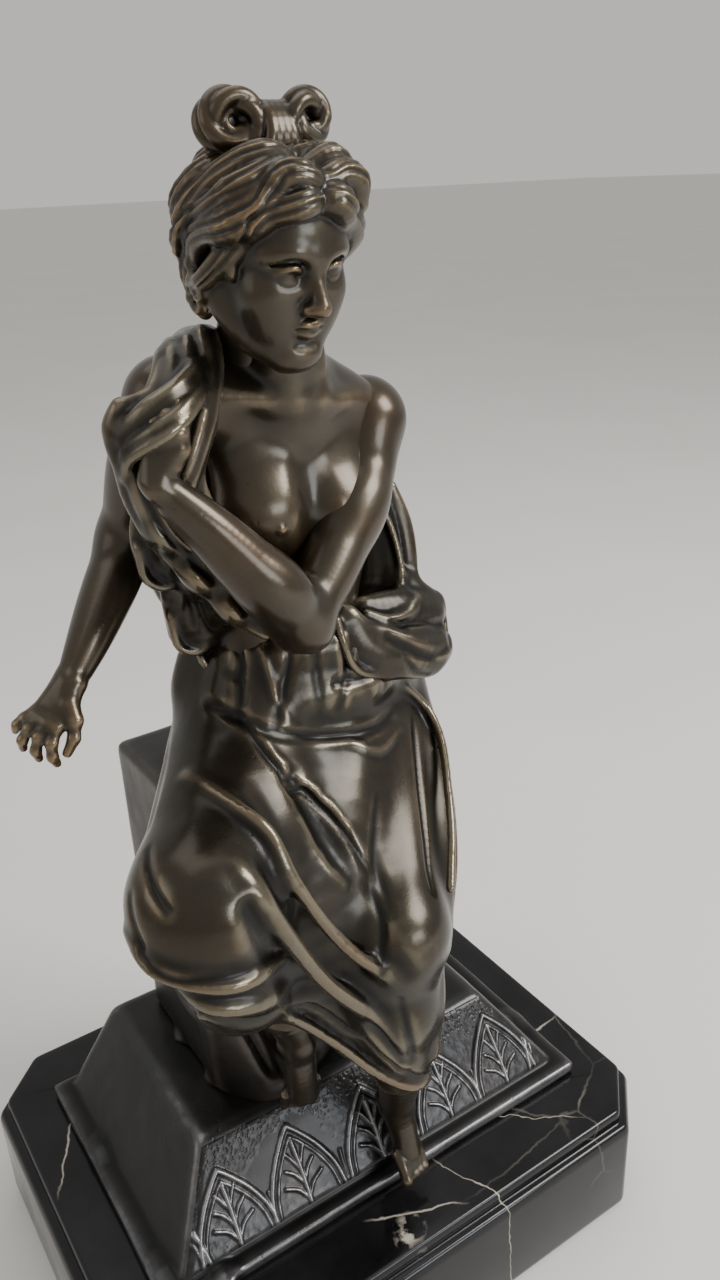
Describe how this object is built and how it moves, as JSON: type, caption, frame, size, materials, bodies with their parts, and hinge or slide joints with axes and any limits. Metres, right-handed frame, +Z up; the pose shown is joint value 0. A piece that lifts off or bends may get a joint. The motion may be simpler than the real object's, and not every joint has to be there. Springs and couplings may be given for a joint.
{
  "type": "bronze statuette",
  "caption": "Seated classical woman in patinated bronze, clutching a mantle to her shoulder, on a relief pedestal and a black marble base.",
  "frame": {"origin": "centre of the base's underside, on the plane the felt rests on", "axes": "+Z up; the relief face of the pedestal and the figure's chest face -Y; the figure's left hand side is towards +X; +X is the base's long side"},
  "size_m": [0.2588, 0.2028, 0.4782],
  "materials": {
    "marble": "polished black marble with thin white veins",
    "felt": "pressed felt",
    "pedestal_bronze": "grey-black patinated bronze, waxed",
    "seat_bronze": "dark patinated bronze, waxed",
    "drapery_bronze": "dark brown patinated bronze, waxed and polished on its high folds",
    "skin_bronze": "brown patinated bronze, waxed, rubbed golden on its high places",
    "head_bronze": "brown patinated bronze, waxed, hair ridges rubbed golden",
    "steel": "plain steel fixings"
  },
  "bodies": {
    "root": {"marble_base": "marble", "felt_sheet": "felt", "pedestal_casting": "pedestal_bronze", "seat_block_casting": "seat_bronze", "skirt_casting": "drapery_bronze", "shoulder_drape_casting": "drapery_bronze", "back_drape_casting": "drapery_bronze", "torso_casting": "skin_bronze", "left_arm_casting": "skin_bronze", "right_arm_casting": "skin_bronze", "left_leg_casting": "skin_bronze", "right_foot_casting": "skin_bronze", "head_casting": "head_bronze", "topknot_casting": "head_bronze", "mounting_stud_left": "steel", "mounting_stud_right": "steel", "stud_washer_left": "steel", "stud_washer_right": "steel", "stud_nut_left": "steel", "stud_nut_right": "steel", "seat_screw_left": "steel", "seat_screw_right": "steel", "neck_dowel": "steel", "left_arm_dowel": "steel"}
  },
  "joints": []
}
